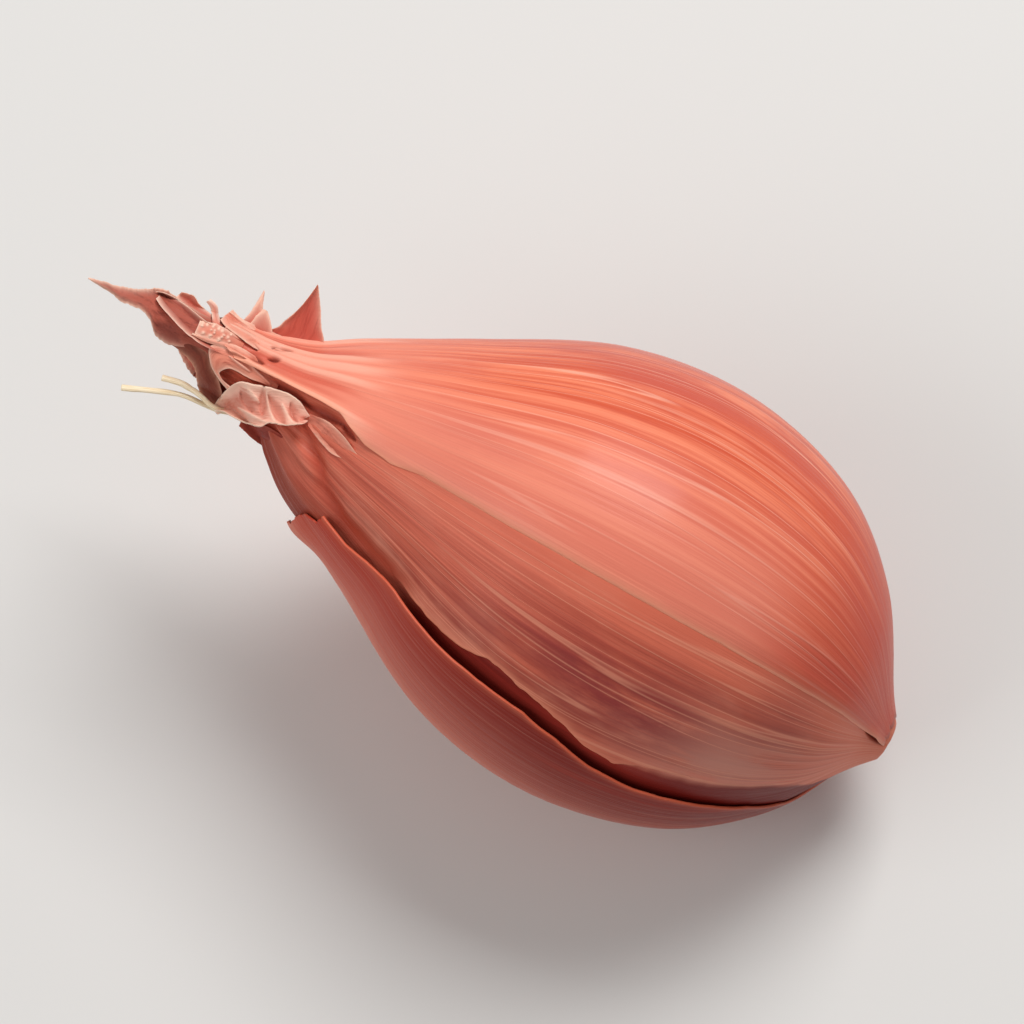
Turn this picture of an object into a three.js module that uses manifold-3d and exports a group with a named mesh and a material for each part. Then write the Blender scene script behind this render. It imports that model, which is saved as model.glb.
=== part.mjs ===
// A half-long French shallot, lying on its side on a small flat spot with its neck raised.
// Millimetres, +Z up. The root end points to +X, the neck to -X, and the outer skin has split on the -Y side.
// The bulb is one solid. The split outer skin, the torn leaf ends at the neck and the dry roots are sheets
// and stubs of their own, each a little clear of its neighbour.
import * as THREE from "three";
import { mergeVertices } from "three/addons/utils/BufferGeometryUtils.js";
import Module from "manifold-3d";

const wasm = await Module();
wasm.setup();

// Driving dimensions.
const bulbLength = 68; // root plate to the gathered end of the neck
const bulbRadius = 18.9; // widest, under the outer skin
const neckRise = 15; // degrees that the neck is raised above level
const rootHeight = 12; // of the root plate's centre above the surface, before it sinks
const rootSink = 2.4; // how far the root plate is bent down from the straight axis
const skinGap = 0.3; // between the bulb and the outer skin where it clings
const skinThickness = 0.5;
const leafThickness = 0.45;
const flapLift = 1.1; // how far the split edge stands off the bulb

// The bulb's outline from root to neck: share of the length, share of the widest radius.
const outline = new THREE.SplineCurve(
  [
    [0, 0.1],
    [0.035, 0.27],
    [0.11, 0.6],
    [0.22, 0.87],
    [0.38, 1],
    [0.54, 0.915],
    [0.7, 0.62],
    [0.82, 0.38],
    [0.91, 0.235],
    [1, 0.16],
  ].map(([along, out]) => new THREE.Vector2(out * bulbRadius, along * bulbLength)),
);

const skins = {
  bulb: new THREE.MeshStandardMaterial({ color: 0x9e5145, roughness: 0.45, metalness: 0 }),
  outer: new THREE.MeshStandardMaterial({ color: 0xc4604a, roughness: 0.4, metalness: 0 }),
  leaf: new THREE.MeshStandardMaterial({ color: 0xc9776a, roughness: 0.6, metalness: 0 }),
  straw: new THREE.MeshStandardMaterial({ color: 0xd9c393, roughness: 0.55, metalness: 0 }),
  root: new THREE.MeshStandardMaterial({ color: 0x6b4a33, roughness: 0.9, metalness: 0 }),
};

// Angles run round the axis from the top of the bulb towards -Y, in degrees.
const clingAngle = 16; // the outer skin's edge that clings, along the bulb's front
const radians = THREE.MathUtils.degToRad;

function around(along, angle, out) {
  const turn = radians(angle);
  return new THREE.Vector3(-along, -out * Math.sin(turn), out * Math.cos(turn));
}

// Gives a point of the straight round bulb its uneven shape: broad lobes, the root bent down, and the flat
// spot, which a layer further in meets at its own height above the surface.
const surfaceUp = new THREE.Vector3(0, 0, 1).applyAxisAngle(new THREE.Vector3(0, 1, 0), -radians(neckRise));
function settled(point, layerHeight) {
  const along = -point.x / bulbLength;
  const turn = Math.atan2(-point.y, point.z);
  const lobes = 1 + 0.014 * Math.cos(2 * turn + 0.6) + 0.008 * Math.cos(3 * turn - 0.4);
  point.y *= lobes;
  point.z *= lobes;
  point.z -= rootSink * Math.max(0, 1 - along / 0.3) ** 2;
  const sunk = layerHeight - rootHeight - point.dot(surfaceUp);
  if (sunk > 0) point.addScaledVector(surfaceUp, sunk);
  return point;
}

function reshaped(geometry, place) {
  const position = geometry.getAttribute("position");
  const point = new THREE.Vector3();
  for (let i = 0; i < position.count; i++) {
    point.copy(place(point.fromBufferAttribute(position, i)));
    position.setXYZ(i, point.x, point.y, point.z);
  }
  geometry.computeVertexNormals();
  return geometry;
}

// A thin sheet: a box whose corners go where place(along, across, depth) says, each from 0 to 1.
function sheet(stepsAlong, stepsAcross, place) {
  const box = new THREE.BoxGeometry(1, 1, 1, stepsAlong, stepsAcross, 1);
  return reshaped(box, (p) => place(p.x + 0.5, p.y + 0.5, p.z + 0.5));
}

function bulbGeometry() {
  const profile = [new THREE.Vector2(0, 0), ...outline.getPoints(36), new THREE.Vector2(0, bulbLength)];
  const lathe = new THREE.LatheGeometry(profile, 40).rotateZ(Math.PI / 2);
  return reshaped(lathe, (p) => settled(p, skinThickness + skinGap));
}

// The outer skin wraps the bulb from its lifted edge, under it and up over the back to its clinging edge. Its
// torn top is given as share of the way round, share of the bulb's length. The flap ends in two points.
const liftedEdge = (share) => 59 + 120 * (share - 0.48) ** 2; // the angle of the split edge of the flap
const liftReach = 62; // degrees round the bulb over which the flap comes back to it
const skinFoot = 0.012; // share of the bulb's length where the skin begins, round the root plate
const skinTop = [
  [0, 0.768],
  [0.05, 0.75],
  [0.115, 0.788],
  [0.2, 0.745],
  [0.31, 0.85],
  [0.5, 0.9],
  [0.72, 0.872],
  [1, 0.905],
];

function outlineAt(share) {
  let low = 0;
  let high = 1;
  for (let i = 0; i < 30; i++) {
    const middle = (low + high) / 2;
    if (outline.getPoint(middle).y < share * bulbLength) low = middle;
    else high = middle;
  }
  return low;
}

function onBulb(share, angle, lift) {
  const t = outlineAt(share);
  const { x: out, y: along } = outline.getPoint(t);
  const slope = outline.getTangent(t);
  return around(along - lift * slope.x, angle, out + lift * slope.y);
}

function topAt(across) {
  const next = Math.max(1, skinTop.findIndex(([at]) => at >= across));
  const [from, low] = skinTop[next - 1];
  const [to, high] = skinTop[next];
  return THREE.MathUtils.lerp(low, high, THREE.MathUtils.smoothstep(across, from, to));
}

// The flap opens away from the bulb from the root upwards, and its points keep half of that.
function flapOpening(share) {
  const belly = Math.sin(Math.PI * Math.min(1, share / skinTop[2][1]) ** 0.8);
  const points = THREE.MathUtils.smoothstep(share, 0.3, 0.7);
  return (0.55 * belly + 0.45 * points) * THREE.MathUtils.smoothstep(share, 0.04, 0.3);
}

function outerSkinPoint(alongShare, across, depth) {
  const share = THREE.MathUtils.lerp(skinFoot, topAt(across), alongShare);
  const start = liftedEdge(share);
  const angle = THREE.MathUtils.lerp(start, 360 + clingAngle, across);
  const nearEdge = 1 - THREE.MathUtils.smoothstep(angle - start, 0, liftReach);
  const lift = skinGap + flapLift * nearEdge * flapOpening(share);
  return settled(onBulb(share, angle, lift + depth * skinThickness), depth < 0.5 ? skinThickness : 0);
}

// A torn leaf end: a tapering sheet along a spine of points [along, angle, out], cupped across its width.
// The width lies round the bulb, or along it when the sheet is turned edgeways.
const axis = new THREE.Vector3(1, 0, 0);
function leafGeometry({ spine, width, tip = 0.25, cup = 0, swell = 0.5, edgeways = false }) {
  const line = new THREE.CatmullRomCurve3(spine.map((p) => around(...p)));
  return sheet(12, 4, (along, across, depth) => {
    const centre = line.getPoint(along);
    const run = line.getTangent(along);
    const outward = new THREE.Vector3(0, centre.y, centre.z);
    const side = edgeways ? axis.clone() : new THREE.Vector3().crossVectors(axis, outward);
    side.addScaledVector(run, -side.dot(run)).normalize();
    const face = new THREE.Vector3().crossVectors(run, side);
    const taper = (1 - along) ** 0.8 + swell * Math.sin(Math.PI * along);
    const half = Math.max(tip, width * taper) / 2;
    const over = (across - 0.5) * 2;
    return centre
      .addScaledVector(side, over * half)
      .addScaledVector(face, (depth - 0.5) * leafThickness - cup * over * over * half);
  });
}

// Torn leaf ends round the neck, by name.
const leaves = {
  neck_leaf_long: {
    spine: [[64.6, 22, 4.2], [69, 16, 3.6], [74, 10, 2.6], [80.2, 5, 1.4]],
    width: 3.8,
    cup: 0.25,
  },
  neck_leaf_brown: {
    spine: [[63.8, 104, 4.4], [67, 104, 4.4], [70.5, 98, 3.6], [72.5, 90, 2.4]],
    width: 4.6,
    tip: 1,
    cup: 0.3,
  },
  neck_leaf_spike: {
    spine: [[62.5, -70, 5.8], [62.6, -71, 7.1], [62.7, -72, 8.4], [62.9, -73, 9.8]],
    width: 4.6,
    swell: 0,
    edgeways: true,
  },
  neck_leaf_barb: {
    spine: [[66.2, -68, 4.3], [66.3, -69, 5.3], [66.5, -70, 6.3], [66.9, -72, 7.5]],
    width: 2.4,
    swell: 0,
    edgeways: true,
  },
  neck_leaf_corner: {
    spine: [[64.6, -26, 4.6], [66.8, -28, 4.8], [68.6, -32, 5], [70.6, -38, 5.4]],
    width: 3,
    cup: 0.2,
  },
  neck_leaf_curl: {
    spine: [[63.4, 58, 4.8], [61.8, 61, 6.2], [59.6, 62, 7], [57.2, 60, 7.3]],
    width: 5.4,
    tip: 2.6,
    cup: 0.3,
  },
  neck_leaf_back: {
    spine: [[64.2, 238, 4.4], [67.4, 240, 4.6], [70.2, 242, 4.4], [73, 244, 3.6]],
    width: 4.6,
    cup: 0.3,
  },
  neck_leaf_under: {
    spine: [[63.6, 178, 4.6], [66, 180, 5], [68.2, 182, 5.6], [70, 184, 6.4]],
    width: 4,
    cup: 0.2,
  },
};

// A round fibre or root stub.
const fibreRadius = 0.26;
function tubeGeometry(points, radius, steps) {
  const section = new THREE.Shape().absarc(0, 0, radius, 0, 2 * Math.PI);
  const extrudePath = new THREE.CatmullRomCurve3(points);
  return new THREE.ExtrudeGeometry(section, { extrudePath, steps, curveSegments: 4 });
}

const fibres = {
  neck_fibre_long: [[65.2, 72, 5.6], [67.6, 84, 6.2], [70, 92, 6.6], [73.6, 97, 7.2]],
  neck_fibre_short: [[65, 60, 5.6], [66.8, 68, 5.6], [68.6, 72, 5.2], [70.8, 74, 4.6]],
};

function solidOf(geometry) {
  const plain = geometry.clone();
  plain.deleteAttribute("normal");
  plain.deleteAttribute("uv");
  const merged = mergeVertices(plain, 1e-4);
  return new wasm.Manifold(
    new wasm.Mesh({
      numProp: 3,
      vertProperties: merged.getAttribute("position").array,
      triVerts: new Uint32Array(merged.index.array),
    }),
  );
}

function geometryOf(solid) {
  const { vertProperties, triVerts } = solid.getMesh();
  const geometry = new THREE.BufferGeometry();
  geometry.setAttribute("position", new THREE.BufferAttribute(vertProperties, 3));
  geometry.setIndex(new THREE.BufferAttribute(triVerts, 1));
  geometry.computeVertexNormals();
  return geometry;
}

// The corky pad of the root plate with the stubs of the trimmed roots, as one solid.
const rootPad = { radius: 1.7, thickness: 0.5, rings: [1, 6], stubRadius: 0.22, stubLength: 0.9 };
function rootTuftGeometry() {
  const { radius, thickness, rings, stubRadius, stubLength } = rootPad;
  const pad = new THREE.CylinderGeometry(radius * 0.85, radius, thickness, 20).rotateZ(-Math.PI / 2);
  pad.translate(skinGap + thickness / 2, 0, 0);
  let tuft = solidOf(pad);
  rings.forEach((count, ring) => {
    for (let i = 0; i < count; i++) {
      const angle = (360 * i) / count + 20 * ring;
      const out = (radius * 0.62 * ring) / (rings.length - 1);
      const end = stubLength * (1 - 0.12 * (i % 3));
      const line = [
        around(-skinGap - thickness * 0.5, angle, out),
        around(-skinGap - thickness - end * 0.5, angle, out * 1.2),
        around(-skinGap - thickness - end, angle + 14, out * 1.7 + 0.1),
      ];
      tuft = tuft.add(solidOf(tubeGeometry(line, stubRadius, 4)));
    }
  });
  return geometryOf(tuft).translate(0, 0, -rootSink);
}

function piece(name, geometry, material) {
  const mesh = new THREE.Mesh(geometry, material);
  mesh.name = name;
  return mesh;
}

// Everything is shaped along the bulb's own axis, then laid down with the neck raised.
const lying = new THREE.Group();
lying.rotation.y = radians(neckRise);
lying.position.z = rootHeight;
lying.add(piece("bulb", bulbGeometry(), skins.bulb));
lying.add(piece("outer_skin", sheet(30, 42, outerSkinPoint), skins.outer));
for (const [name, leaf] of Object.entries(leaves)) lying.add(piece(name, leafGeometry(leaf), skins.leaf));
for (const [name, line] of Object.entries(fibres)) {
  lying.add(piece(name, tubeGeometry(line.map((p) => around(...p)), fibreRadius, 8), skins.straw));
}
lying.add(piece("root_tuft", rootTuftGeometry(), skins.root));

// The origin is under the middle of the whole shallot, on the surface it lies on.
const shallot = new THREE.Group();
shallot.add(lying);
const box = new THREE.Box3().setFromObject(shallot, true);
const centre = box.getCenter(new THREE.Vector3());
lying.position.x -= centre.x;
lying.position.y -= centre.y;
lying.position.z -= box.min.z;

export default shallot;
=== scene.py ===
import itertools
import math

import bmesh
import bpy
import numpy as np
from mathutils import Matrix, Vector


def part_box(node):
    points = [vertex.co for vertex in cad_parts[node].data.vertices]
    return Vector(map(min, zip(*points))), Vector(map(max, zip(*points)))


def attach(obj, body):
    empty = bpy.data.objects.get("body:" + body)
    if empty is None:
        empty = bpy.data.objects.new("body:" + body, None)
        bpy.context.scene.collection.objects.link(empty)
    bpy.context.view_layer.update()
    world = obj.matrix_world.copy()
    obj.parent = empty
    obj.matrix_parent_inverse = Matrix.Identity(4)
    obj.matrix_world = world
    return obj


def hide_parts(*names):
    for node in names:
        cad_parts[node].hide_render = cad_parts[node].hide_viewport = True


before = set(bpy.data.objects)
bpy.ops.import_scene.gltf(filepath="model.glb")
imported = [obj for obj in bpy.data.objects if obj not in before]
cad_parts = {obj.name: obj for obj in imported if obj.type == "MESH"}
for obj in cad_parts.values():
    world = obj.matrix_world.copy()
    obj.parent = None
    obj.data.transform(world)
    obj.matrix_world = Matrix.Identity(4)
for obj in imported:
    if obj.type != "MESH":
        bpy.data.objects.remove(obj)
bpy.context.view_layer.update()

# The shallot lies on its side. Along is millimetres from the root plate towards the neck, share is the same
# as a share of the bulb's length, and angles run round the axis from the top towards -Y, in degrees.

viewpoint = {
    "azimuth": 26.5,
    "elevation": 72,
    "distance": 0.52,  # metres
    "lens": 212,
    "aim": (0.0006, 0.0009, 0.0215),
    "nearest": 0.01,  # what is closer isn't drawn
}


def makeCamera():
    turn, rise = math.radians(viewpoint["azimuth"]), math.radians(viewpoint["elevation"])
    back = Vector((math.sin(turn) * math.cos(rise), -math.cos(turn) * math.cos(rise), math.sin(rise)))
    data = bpy.data.cameras.new("camera")
    data.lens = viewpoint["lens"]
    data.clip_start = viewpoint["nearest"]
    camera = bpy.data.objects.new("camera", data)
    camera.location = Vector(viewpoint["aim"]) + back * viewpoint["distance"]
    camera.rotation_euler = back.to_track_quat("Z", "Y").to_euler()
    bpy.context.scene.collection.objects.link(camera)
    bpy.context.scene.camera = camera


makeCamera()
print("camera ready")


def smoothStep(value, low, high):
    t = np.clip((value - low) / (high - low), 0, 1)
    return t * t * (3 - 2 * t)


def hump(value, middle, reach):
    return np.exp(-(((value - middle) / reach) ** 2))


def softNoise(points, seed, cells=32):  # smooth values from -1 to 1, one for each point of the last axis
    table = np.random.default_rng(seed).uniform(-1, 1, (cells, cells, cells))
    cell = np.floor(points).astype(int)
    part = points - cell
    part = part * part * (3 - 2 * part)
    total = 0
    for corner in itertools.product((0, 1), repeat=3):
        weight = np.prod(np.where(corner, part, 1 - part), axis=-1)
        x, y, z = np.moveaxis((cell + corner) % cells, -1, 0)
        total = total + weight * table[x, y, z]
    return total


def layered(points, seed):  # softNoise at three scales, each half the size and height of the one before
    return sum(softNoise(points * 2**i, seed + i) / 2**i for i in range(3)) / 1.75


def stacked(*parts):
    return np.stack(np.broadcast_arrays(*parts), axis=-1)


def between(points, at):  # straight runs between (at, value) points
    places, values = zip(*points)
    return np.interp(at, places, values)


def splineThrough(points, steps=24):  # a smooth line through points, with steps between each two
    p = np.array([points[0], *points, points[-1]], float)
    t = np.linspace(0, 1, steps, endpoint=False)[:, None]
    runs = []
    for a, b, c, d in zip(p, p[1:], p[2:], p[3:]):
        start, end = (c - a) / 2, (d - b) / 2
        cubic = 2 * b - 2 * c + start + end
        square = 3 * c - 3 * b - 2 * start - end
        runs.append(cubic * t**3 + square * t**2 + start * t + b)
    return np.vstack([*runs, p[-1:]])


bulbForm = {
    "length": 68,
    "radius": 18.9,
    "outline": [
        (0, 0.08), (0.035, 0.225), (0.11, 0.59), (0.22, 0.87), (0.38, 1), (0.54, 0.915), (0.7, 0.62),
        (0.82, 0.365), (0.88, 0.225), (0.94, 0.155), (1, 0.14),
    ],  # share of the length, share of the radius
    "neckRise": 15,  # degrees above level
    "rootSink": 2.4,  # how far the root end is bent down
    "rootSinkReach": 0.3,  # share of the length that bends
    "oval": 0.014,  # how far the cross section is from round, as a share of the radius
    "threeSided": 0.008,
    "neckTaper": 16,  # millimetres past the bulb's end in which the neck runs out
}
profile = splineThrough(bulbForm["outline"]) * (bulbForm["length"], bulbForm["radius"])
profileSlope = np.arctan(np.gradient(profile[:, 1], profile[:, 0]))
seat = np.zeros(3)  # where the axis starts at the root end, in millimetres


def layDown(along, angle, out):  # points on the lying shallot, in millimetres
    turn, rise = np.radians(angle), math.radians(bulbForm["neckRise"])
    lobes = 1 + bulbForm["oval"] * np.cos(2 * turn + 0.6) + bulbForm["threeSided"] * np.cos(3 * turn - 0.4)
    bend = np.clip(1 - along / bulbForm["length"] / bulbForm["rootSinkReach"], 0, None) ** 2
    y = -out * np.sin(turn) * lobes
    z = out * np.cos(turn) * lobes - bulbForm["rootSink"] * bend
    x = z * math.sin(rise) - along * math.cos(rise)
    return stacked(x, y, z * math.cos(rise) + along * math.sin(rise)) + seat


def outAt(share):
    return np.interp(share * bulbForm["length"], profile[:, 0], profile[:, 1])


# Lift is millimetres over the plain bulb, and no point comes lower than floor millimetres.
def onBulb(share, angle, lift, floor):
    along = share * bulbForm["length"]
    slope = np.interp(along, profile[:, 0], profileSlope)
    points = layDown(along - lift * np.sin(slope), angle, outAt(share) + lift * np.cos(slope))
    points[..., 2] = np.maximum(points[..., 2], floor)
    return points


def findSeat():  # the plain bulb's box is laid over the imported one
    share, angle = np.meshgrid(np.linspace(0, 1, 200), np.linspace(0, 360, 181))
    low, high = (np.array(corner) * 1000 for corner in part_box("bulb"))
    plain = onBulb(share, angle, 0, -math.inf).reshape(-1, 3)
    plainLow, plainHigh = plain.min(axis=0), plain.max(axis=0)
    middle = (low[1] + high[1] - plainHigh[1] - plainLow[1]) / 2
    return np.array((low[0] - plainLow[0], middle, high[2] - plainHigh[2]))


seat = findSeat()
print("bulb laid over the frame, root end at", np.round(seat, 2), "mm")

frontAngle = 16  # degrees round to the side that faces the viewer


def signed(angle):  # the same angle, from -180 to 180
    return (angle + 180) % 360 - 180


def neckRadius(along):  # of the second skin, and of what is left of the neck beyond the bulb's end
    beyond = np.clip(along - bulbForm["length"], 0, None)
    skin = outAt(np.minimum(along / bulbForm["length"], 1)) + bulbSkin["lift"]
    return skin * (1 - beyond / bulbForm["neckTaper"])


def atNeck(points, side=1):
    # Points are (along the axis, up across it for the viewer, height over the neck), in millimetres. Side is
    # 1 on the side that faces the viewer and -1 behind.
    along, up, height = np.moveaxis(np.asarray(points, float), -1, 0)
    depth = side * (np.sqrt(np.clip(neckRadius(along) ** 2 - up**2, 0, None)) + height)
    return layDown(along, frontAngle - np.degrees(np.arctan2(up, depth)), np.hypot(up, depth))


def gridFaces(rows, columns, start=0, flip=False):
    row, column = np.meshgrid(np.arange(rows - 1), np.arange(columns - 1), indexing="ij")
    corner = (start + row * columns + column).ravel()
    faces = np.stack([corner, corner + 1, corner + columns + 1, corner + columns], axis=-1)
    return faces[:, ::-1] if flip else faces


weldDistance = 0.000002  # metres


def cleanMesh(mesh):  # points that coincide become one, holes close, and every face looks outwards
    work = bmesh.new()
    work.from_mesh(mesh)
    bmesh.ops.remove_doubles(work, verts=work.verts, dist=weldDistance)
    bmesh.ops.holes_fill(work, edges=work.edges, sides=0)
    bmesh.ops.recalc_face_normals(work, faces=work.faces)
    work.to_mesh(mesh)
    work.free()
    mesh.validate()
    mesh.polygons.foreach_set("use_smooth", [True] * len(mesh.polygons))


def makePiece(name, points, faces, marks):  # marks are values for each point that the materials read
    mesh = bpy.data.meshes.new(name)
    mesh.from_pydata((points.reshape(-1, 3) * 0.001).tolist(), [], faces.tolist())
    for mark, values in marks.items():
        vector = np.ndim(values) > 1 and np.shape(values)[-1] == 3
        attribute = mesh.attributes.new(mark, "FLOAT_VECTOR" if vector else "FLOAT", "POINT")
        attribute.data.foreach_set("vector" if vector else "value", np.ravel(values).astype(np.float32))
    cleanMesh(mesh)
    piece = bpy.data.objects.new(name, mesh)
    bpy.context.scene.collection.objects.link(piece)
    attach(piece, "root")
    return piece


def makeShell(name, outer, inner, marks):  # a thin closed sheet between two grids of points
    rows, columns = outer.shape[:2]
    count = rows * columns
    index = np.arange(count).reshape(rows, columns)
    rim = np.concatenate([index[0, :], index[1:, -1], index[-1, -2::-1], index[-2:0:-1, 0]])
    following = np.roll(rim, -1)
    rimFaces = np.stack([rim, rim + count, following + count, following], axis=-1)
    faces = np.concatenate([gridFaces(rows, columns), gridFaces(rows, columns, count, flip=True), rimFaces])
    doubled = {mark: np.concatenate([v.reshape(count, -1)] * 2).squeeze() for mark, v in marks.items()}
    points = np.concatenate([outer.reshape(-1, 3), inner.reshape(-1, 3)])
    return makePiece(name, points, faces, doubled)


def dress(piece, material, node):  # and let it stand for its node of the frame
    piece.data.materials.append(material)
    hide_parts(node)


# A place in the skin's grain, which runs from root to neck.
def grainAt(share, angle, across=13, lengthwise=2.2):
    turn = np.radians(angle)
    return stacked(across * np.cos(turn), across * np.sin(turn), lengthwise * share)


skinShape = {
    "ribs": 0.05,  # millimetres
    "dents": 0.16,
    "gather": (0.7, 0.93),  # shares between which the skins gather at the neck
    "foldHeight": 0.7,
    "twist": 40,  # degrees that the folds would turn over the bulb's length
    "waver": 0.25,
    "fine": (0.74, 0.86),  # shares between which the fine ridges come in
    "fineHeight": 0.07,
    "fineCount": 33,
    "drawnIn": (0.865, 0.91),  # shares between which the neck's low side is drawn in
    "drawnInDepth": 0.9,
    "lowSide": 106,  # degrees round
}


def neckFolds(share, angle):  # how high the skins' folds stand at the neck
    turn = np.radians(angle + skinShape["twist"] * (share - 0.9))
    turn = turn + skinShape["waver"] * softNoise(grainAt(share, angle, 2, 6), 3)
    ridges = 0.6 * np.abs(np.sin(4.5 * turn + 1)) + 0.4 * np.abs(np.sin(8 * turn + 0.4))
    ridges = ridges + 0.2 * np.cos(15 * turn)
    fineRidges = skinShape["fineHeight"] * np.cos(skinShape["fineCount"] * turn)
    fineRidges = fineRidges * smoothStep(share, *skinShape["fine"])
    gather = smoothStep(share, *skinShape["gather"]) * (ridges - 0.6) * skinShape["foldHeight"]
    lowSide = np.clip(np.cos(np.radians(angle - skinShape["lowSide"])), 0, 1)
    drawnIn = skinShape["drawnInDepth"] * smoothStep(share, *skinShape["drawnIn"]) * lowSide
    return gather + fineRidges - drawnIn


def nearLines(lines, along, up):
    # 1 on the lines and 0 away from them. Each is from and to (along, up), with its width, and ends thin.
    mark = 0
    for start, end, width in lines:
        run = np.subtract(end, start)
        at = np.clip(((along - start[0]) * run[0] + (up - start[1]) * run[1]) / (run @ run), 0, 1)
        apart = np.hypot(along - start[0] - at * run[0], up - start[1] - at * run[1])
        mark = np.maximum(mark, hump(apart, 0, width * (0.35 + 0.65 * np.sin(np.pi * at))))
    return mark


def nearSkinLines(lines, share, angle):
    facing = np.radians(frontAngle - angle)
    up = (outAt(share) + bulbSkin["lift"]) * np.sin(facing)
    return nearLines(lines, share * bulbForm["length"], up) * (np.cos(facing) > 0)


def nearPatches(patches, share, facing):
    # Each patch is its share and reach along the bulb, its angle and width round it, and its strength.
    total = 0
    for at, reach, angle, width, strength in patches:
        total = total + strength * hump(share, at, reach) * hump(facing, angle, width)
    return total


def skinRipple(share, angle):  # low uneven ribs and dents, as every dry skin has
    ribs = skinShape["ribs"] * layered(grainAt(share, angle, 13, 3), 11)
    dents = skinShape["dents"] * softNoise(grainAt(share, angle, 2.6, 4), 17)
    return (ribs + dents) * np.sin(np.pi * np.clip(share, 0.02, 1)) ** 0.5


bulbSkin = {
    "lift": 0.5,  # of the second skin over the plain bulb, in millimetres
    "depth": 0.42,  # from the second skin down to the one inside its torn edge
    "tornEdge": [
        (0, 110), (0.033, 95), (0.06, 74), (0.093, 61), (0.13, 57.5), (0.22, 58.5), (0.285, 60),
        (0.325, 62.5), (0.355, 61), (0.39, 58.5), (0.43, 56), (0.52, 54), (0.56, 57.5), (0.61, 58.8),
        (0.66, 60.5), (0.755, 63), (0.795, 55), (0.835, 40), (0.87, 30), (0.93, 24), (1, 24),
    ],  # share of the length, degrees round
    "tearStart": (0.22, 0.4),  # shares between which it turns from bent inwards to torn through
    "tearEnd": (0.61, 0.68),  # shares between which the tear runs out into a soft crease
    "tear": 1.1,  # degrees that the torn edge wanders
    "edgeCurl": 0.22,  # how far the torn edge turns up
    "edgeThickness": 0.16,
    "edgeTuck": 1.2,  # degrees that it overlaps the inside
    "insideEnds": (60, 100),  # degrees past the tear between which the inside comes up to the skin
    "bend": 4,  # degrees over which the skin bending in under the flap takes painted shade
    "creaseDepth": 0.55,
    "creaseWidth": 7,  # degrees
    "wrinkleHeight": 0.22,
    "wrinkled": [(0.805, 0.04, 30, 14, 1)],  # the crumpled patch beside the lip
    "shoulder": [(0.815, 0.055, 84, 34, 0.75)],  # the round shoulder under the neck
    "bruises": [
        (0.31, 0.085, 44, 12, 0.8), (0.43, 0.08, 42, 11, 0.75), (0.55, 0.06, 46, 8, 0.4),
        (0.17, 0.05, 30, 14, 0.35),
    ],  # where it shows purple
    "paleAndHighlight": [(0.22, 0.1, 50, 15, 1), (0.855, 0.032, 56, 13, 0.5)],  # where it is dull and pale; the patch on the shoulder is a painted highlight
    "pocket": [
        ((62.8, 0.15), (58.5, -0.05), 0.42),
        ((58.5, -0.05), (55.2, 0), 0.45),
        ((55.2, 0), (53.8, -0.6), 0.28),
    ],  # dents beside the outer skin's edge at the neck, from and to (along, up), and their width
    "pocketDepth": 0.55,
    "notch": [((3.1, -0.15), (0.4, -0.35), 0.3)],  # where the skins part at the root end
    "notchDepth": 0.5,
    "floor": 0.32,  # its lowest point, which leaves room for the outer skin underneath
    "rootRings": ((0, 0.1), (0.4, 0.05), (0.8, -0.1)),
    "neckRings": ((0.8, -0.5), (0.6, -1.6), (0.35, -2.4), (0, -2.8)),
    # Rings close both ends, each a share of the last one's size, and so many millimetres towards the neck.
    "rows": 250,
    "columns": 330,
}


def tornEdge(share):
    wander = layered(stacked(share * 42, 0.5, 0.5), 29) + 0.7 * softNoise(stacked(share * 14, 2.5, 0.5), 31)
    return between(bulbSkin["tornEdge"], share) + bulbSkin["tear"] * wander * smoothStep(share, 0.03, 0.12)


def torn(share):  # 1 where the second skin is torn through, 0 where it is only bent inwards or has a crease
    return smoothStep(share, *bulbSkin["tearStart"]) * (1 - smoothStep(share, *bulbSkin["tearEnd"]))


def secondSkinLift(share, angle, fromEdge):  # fromEdge is the angle past the torn edge, from 0 to 360
    past = np.minimum(fromEdge, 360 - fromEdge)
    facing = signed(angle)
    pocket = bulbSkin["pocketDepth"] * nearSkinLines(bulbSkin["pocket"], share, angle)
    pocket = pocket + bulbSkin["notchDepth"] * nearSkinLines(bulbSkin["notch"], share, angle)
    inside = (1 - smoothStep(fromEdge, *bulbSkin["insideEnds"])) * torn(share)
    curl = bulbSkin["edgeCurl"] * np.exp((fromEdge - 360) / 3.5) * torn(share)
    crease = bulbSkin["creaseDepth"] * hump(past, 0, bulbSkin["creaseWidth"])
    crease = crease * smoothStep(share, *bulbSkin["tearEnd"]) * (1 - 0.6 * smoothStep(share, 0.86, 0.95))
    crumple = nearPatches(bulbSkin["wrinkled"], share, facing)
    wrinkles = bulbSkin["wrinkleHeight"] * layered(grainAt(share, angle, 9, 24), 43) * crumple
    shoulder = nearPatches(bulbSkin["shoulder"], share, facing)
    return bulbSkin["lift"] - bulbSkin["depth"] * inside + curl - crease + wrinkles + shoulder - pocket


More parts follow.
